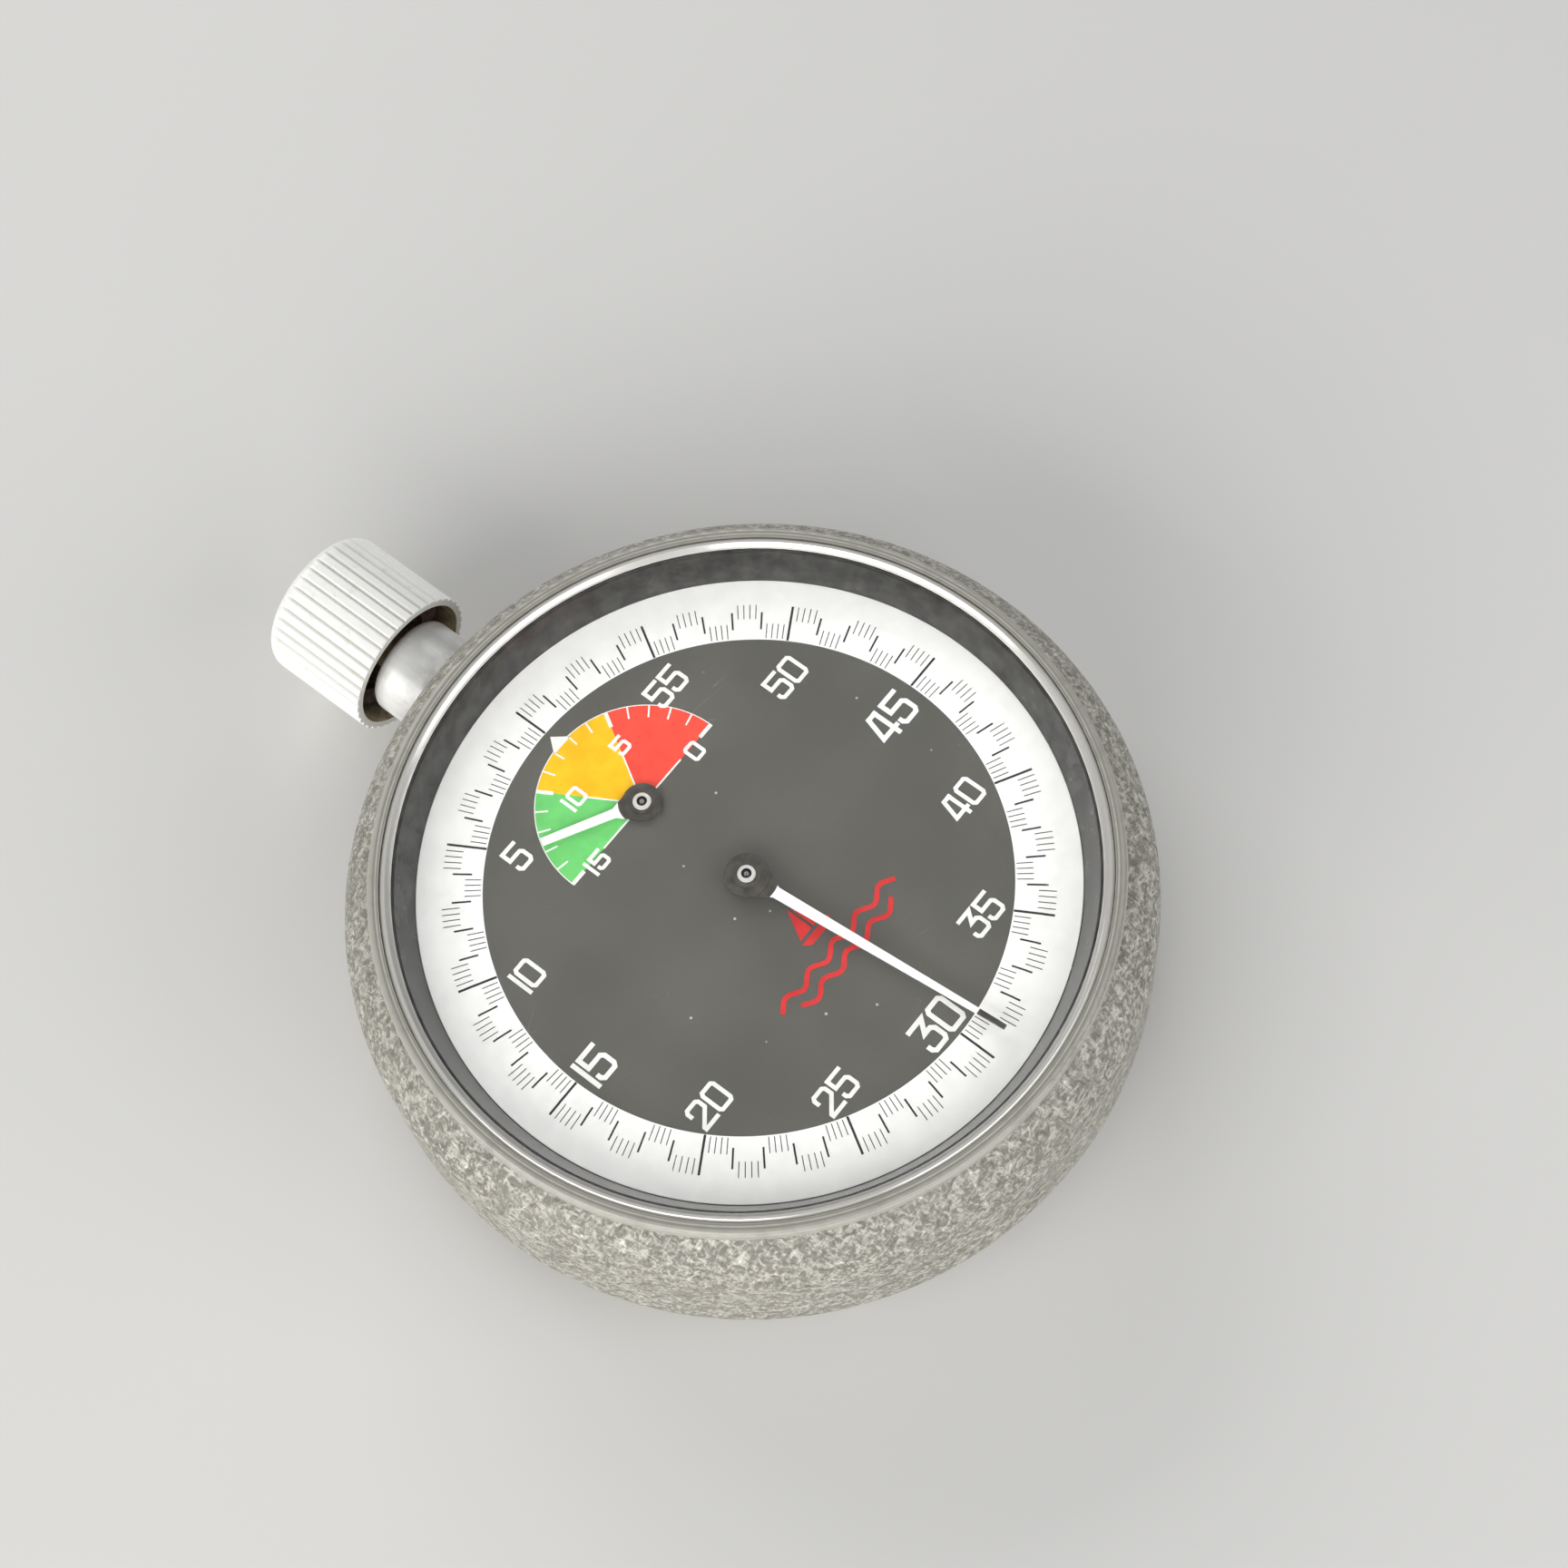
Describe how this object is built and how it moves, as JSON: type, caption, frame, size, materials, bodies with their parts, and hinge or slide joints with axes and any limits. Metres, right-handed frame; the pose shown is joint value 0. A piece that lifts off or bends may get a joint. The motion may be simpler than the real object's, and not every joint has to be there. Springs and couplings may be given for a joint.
{
  "type": "mechanical yachting stopwatch",
  "caption": "Round hand-held mechanical countdown stopwatch with a fluted push-and-wind crown, white seconds ring and a small coloured minute counter.",
  "frame": {"origin": "centre of the flat outer face of the case back", "axes": "+Z out through the crystal, +Y along the crown's axis towards the crown, +X to three o'clock"},
  "size_m": [0.064, 0.0801, 0.0201],
  "materials": {
    "case_grey": "speckled grey crackle lacquer",
    "back_steel": "turned satin",
    "black_rubber": "matte",
    "bezel_chrome": "polished",
    "crystal_clear": "clear polished acrylic",
    "black_matte": "matte black",
    "dial_black": "satin black with printed scales",
    "neck_nickel": "polished nickel",
    "crown_aluminium": "bright anodised, fluted",
    "brass_raw": "machined",
    "plate_nickel": "nickel plated",
    "steel_satin": "satin",
    "steel_blue": "heat-blued",
    "spring_steel": "tempered",
    "ruby": "polished synthetic ruby",
    "hand_white": "white lacquer with black boss",
    "wheel_gilt": "gilt"
  },
  "bodies": {
    "case": {"case_body": "case_grey", "case_back": "back_steel", "back_gasket": "black_rubber", "bezel_ring": "bezel_chrome", "crystal": "crystal_clear", "rehaut": "black_matte", "dial": "dial_black", "pendant_tube": "neck_nickel", "movement_ring": "brass_raw", "case_clamps": "steel_satin", "clamp_screws": "steel_blue", "main_plate": "plate_nickel", "barrel_bridge": "plate_nickel", "train_bridge": "plate_nickel", "pallet_bridge": "plate_nickel", "balance_cock": "plate_nickel", "regulator": "steel_satin", "bridge_screws": "steel_blue", "jewels": "ruby", "crown_wheel_screw": "steel_blue", "click_spring": "spring_steel", "column_jumper": "spring_steel", "hammer_spring": "spring_steel", "lever_spring": "spring_steel", "hairspring": "steel_blue"},
    "plunger": {"push_sleeve": "brass_raw"},
    "crown": {"crown_cap": "crown_aluminium", "crown_seal": "black_rubber", "winding_stem": "steel_satin"},
    "winding_pinion": {"winding_pinion": "steel_satin"},
    "crown_wheel": {"crown_wheel": "steel_satin"},
    "ratchet": {"ratchet_wheel": "steel_satin", "barrel_arbor": "steel_satin", "ratchet_screw": "steel_blue"},
    "click": {"click": "steel_satin"},
    "barrel": {"barrel_drum": "wheel_gilt", "barrel_cover": "wheel_gilt", "mainspring": "spring_steel"},
    "second_wheel": {"second_wheel": "wheel_gilt"},
    "sweep": {"seconds_wheel": "wheel_gilt", "seconds_heart": "steel_satin", "seconds_hand": "hand_white"},
    "escape": {"escape_wheel": "steel_satin"},
    "pallets": {"pallet_lever": "steel_satin", "pallet_stones": "ruby"},
    "balance": {"balance_wheel": "wheel_gilt", "balance_staff": "steel_satin"},
    "between_wheel": {"between_wheel": "wheel_gilt"},
    "counter": {"minute_wheel": "wheel_gilt", "minute_heart": "steel_satin", "minute_hand": "hand_white"},
    "column_wheel": {"column_wheel": "steel_satin"},
    "operating_lever": {"operating_lever": "steel_satin"},
    "hammer": {"reset_hammer": "steel_satin"},
    "brake": {"brake_lever": "steel_satin"}
  },
  "joints": [
    {"name": "crown_push", "type": "slide", "parent": "case", "child": "plunger", "axis": [0, -1, 0], "range_m": [0, 0.0016], "stiffness_N_per_m": 3000, "springref_m": -0.001},
    {"name": "crown_turn", "type": "hinge", "parent": "plunger", "child": "crown", "pos_m": [0, 0.0369, 0.0082], "axis": [0, 1, 0], "continuous": true},
    {"name": "winding_pinion_turn", "type": "hinge", "parent": "case", "child": "winding_pinion", "pos_m": [0, 0.017, 0.0082], "axis": [0, 1, 0], "continuous": true},
    {"name": "crown_wheel_turn", "type": "hinge", "parent": "case", "child": "crown_wheel", "pos_m": [0, 0.0123, 0.0055], "axis": [0, 0, 1], "continuous": true},
    {"name": "ratchet_turn", "type": "hinge", "parent": "case", "child": "ratchet", "pos_m": [-0.0104, 0.0078, 0.0055], "axis": [0, 0, 1], "continuous": true},
    {"name": "click_swing", "type": "hinge", "parent": "case", "child": "click", "pos_m": [-0.01848, 0.00486, 0.0055], "axis": [0, 0, -1], "range_deg": [0, 8], "stiffness_Nm_per_rad": 0.0001, "springref_deg": -2.86},
    {"name": "barrel_turn", "type": "hinge", "parent": "case", "child": "barrel", "pos_m": [-0.0104, 0.0078, 0.008], "axis": [0, 0, -1], "continuous": true},
    {"name": "second_wheel_turn", "type": "hinge", "parent": "case", "child": "second_wheel", "pos_m": [-0.00576, 0.00217, 0.008], "axis": [0, 0, -1], "continuous": true},
    {"name": "sweep_turn", "type": "hinge", "parent": "case", "child": "sweep", "pos_m": [0, 0, 0.008], "axis": [0, 0, -1], "continuous": true},
    {"name": "escape_turn", "type": "hinge", "parent": "case", "child": "escape", "pos_m": [0.00308, -0.00534, 0.008], "axis": [0, 0, -1], "continuous": true},
    {"name": "pallet_swing", "type": "hinge", "parent": "case", "child": "pallets", "pos_m": [0.00481, -0.00833, 0.0076], "axis": [0, 0, 1], "range_deg": [-5, 5]},
    {"name": "balance_swing", "type": "hinge", "parent": "case", "child": "balance", "pos_m": [0.00711, -0.01231, 0.0065], "axis": [0, 0, 1], "range_deg": [-270, 270], "stiffness_Nm_per_rad": 0.0000005},
    {"name": "between_wheel_turn", "type": "hinge", "parent": "case", "child": "between_wheel", "pos_m": [0.00066, 0.0049, 0.0128], "axis": [0, 0, -1], "continuous": true},
    {"name": "counter_turn", "type": "hinge", "parent": "case", "child": "counter", "pos_m": [0, 0.01063, 0.0133], "axis": [0, 0, -1], "continuous": true},
    {"name": "column_wheel_turn", "type": "hinge", "parent": "case", "child": "column_wheel", "pos_m": [-0.0072, 0.0134, 0.013], "axis": [0, 0, -1], "continuous": true},
    {"name": "operating_lever_swing", "type": "hinge", "parent": "case", "child": "operating_lever", "pos_m": [-0.0122, 0.014, 0.013], "axis": [0, 0, -1], "range_deg": [0, 7]},
    {"name": "hammer_swing", "type": "hinge", "parent": "case", "child": "hammer", "pos_m": [0.0065, -0.008, 0.014], "axis": [0, 0, 1], "range_deg": [0, 4.5]},
    {"name": "brake_swing", "type": "hinge", "parent": "case", "child": "brake", "pos_m": [0.0015, -0.0183, 0.0065], "axis": [0, 0, -1], "range_deg": [0, 1.4]}
  ],
  "couplings": [
    {"joint": "winding_pinion_turn", "follows": "crown_turn", "ratio": 1},
    {"joint": "crown_wheel_turn", "follows": "crown_turn", "ratio": 0.42857},
    {"joint": "ratchet_turn", "follows": "crown_turn", "ratio": -0.375},
    {"joint": "second_wheel_turn", "follows": "sweep_turn", "ratio": -0.1},
    {"joint": "barrel_turn", "follows": "sweep_turn", "ratio": 0.0125},
    {"joint": "escape_turn", "follows": "sweep_turn", "ratio": -10},
    {"joint": "between_wheel_turn", "follows": "sweep_turn", "ratio": -0.2},
    {"joint": "counter_turn", "follows": "sweep_turn", "ratio": 0.033333},
    {"joint": "operating_lever_swing", "follows": "crown_push", "rad_per_m": 74.074}
  ]
}
